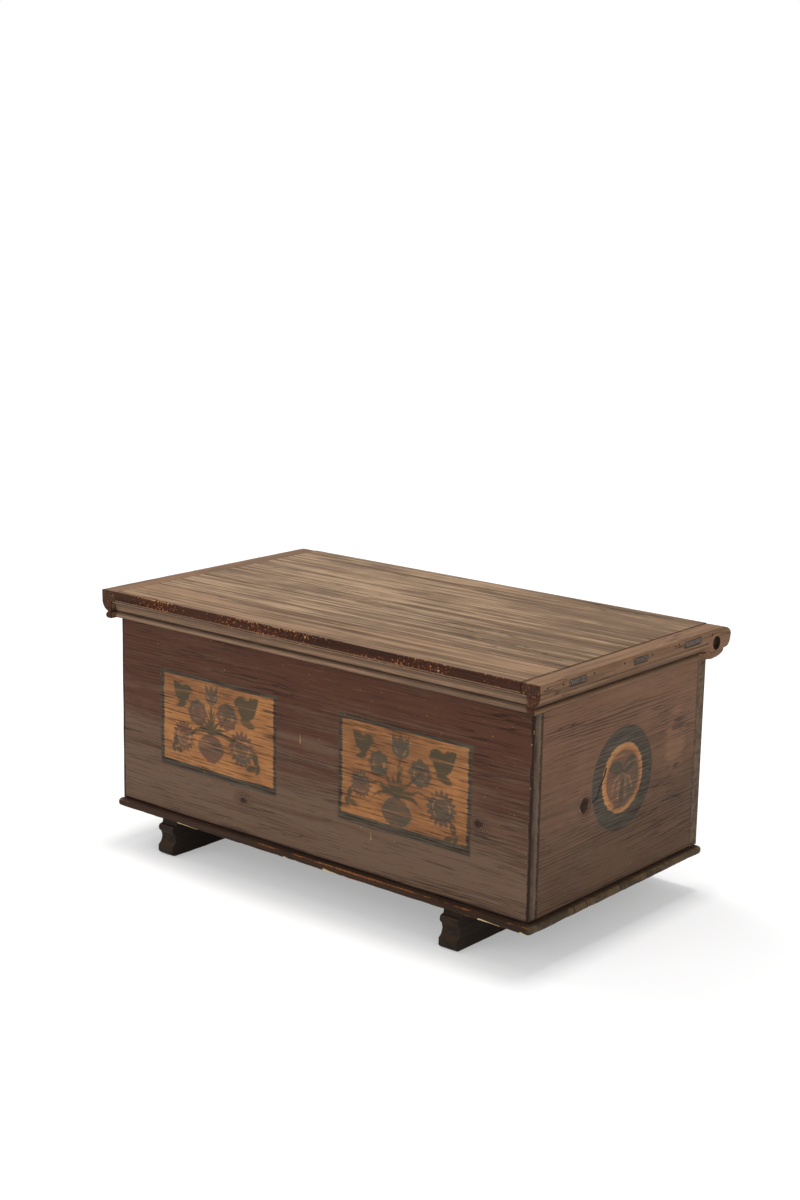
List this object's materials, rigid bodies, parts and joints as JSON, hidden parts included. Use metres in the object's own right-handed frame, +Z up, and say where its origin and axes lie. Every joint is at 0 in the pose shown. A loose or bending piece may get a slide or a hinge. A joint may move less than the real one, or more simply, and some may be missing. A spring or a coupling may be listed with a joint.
{
  "type": "painted wooden chest",
  "caption": "Low boarded chest with painted panels, a cleated lid on wooden pin hinges, a nosed bottom and two shaped runners.",
  "frame": {"origin": "middle of the footprint on the floor, below the middle of the closed chest's box", "axes": "+X along the length to the right as seen from the front, +Y towards the back, +Z up"},
  "size_m": [1.08, 0.625, 0.5274],
  "materials": {
    "painted_front": "worn dark red-brown paint on coarse grain",
    "painted_end": "faded red-brown paint",
    "bare_back": "unpainted, darkened softwood",
    "bottom_boards": "dark worn edge, raw wood in the splinters",
    "runners": "nearly black, worn at the arrises",
    "pegs": "bare wood",
    "lid_boards": "weathered grey-brown softwood",
    "cleats": "faded paint over moulded softwood"
  },
  "bodies": {
    "case": {"front_board": "painted_front", "back_board": "bare_back", "left_end_board": "painted_end", "right_end_board": "painted_end", "bottom_front_board": "bottom_boards", "bottom_middle_board": "bottom_boards", "bottom_rear_board": "bottom_boards", "left_runner": "runners", "right_runner": "runners", "runner_pegs": "pegs", "left_hinge_pin": "pegs", "right_hinge_pin": "pegs"},
    "lid": {"lid_front_board": "lid_boards", "lid_rear_board": "lid_boards", "left_cleat": "cleats", "right_cleat": "cleats", "lid_front_moulding": "cleats"}
  },
  "joints": [
    {"name": "lid_hinge", "type": "hinge", "parent": "case", "child": "lid", "pos_m": [0, 0.2605, 0.496], "axis": [-1, 0, 0], "range_deg": [0, 90]}
  ]
}
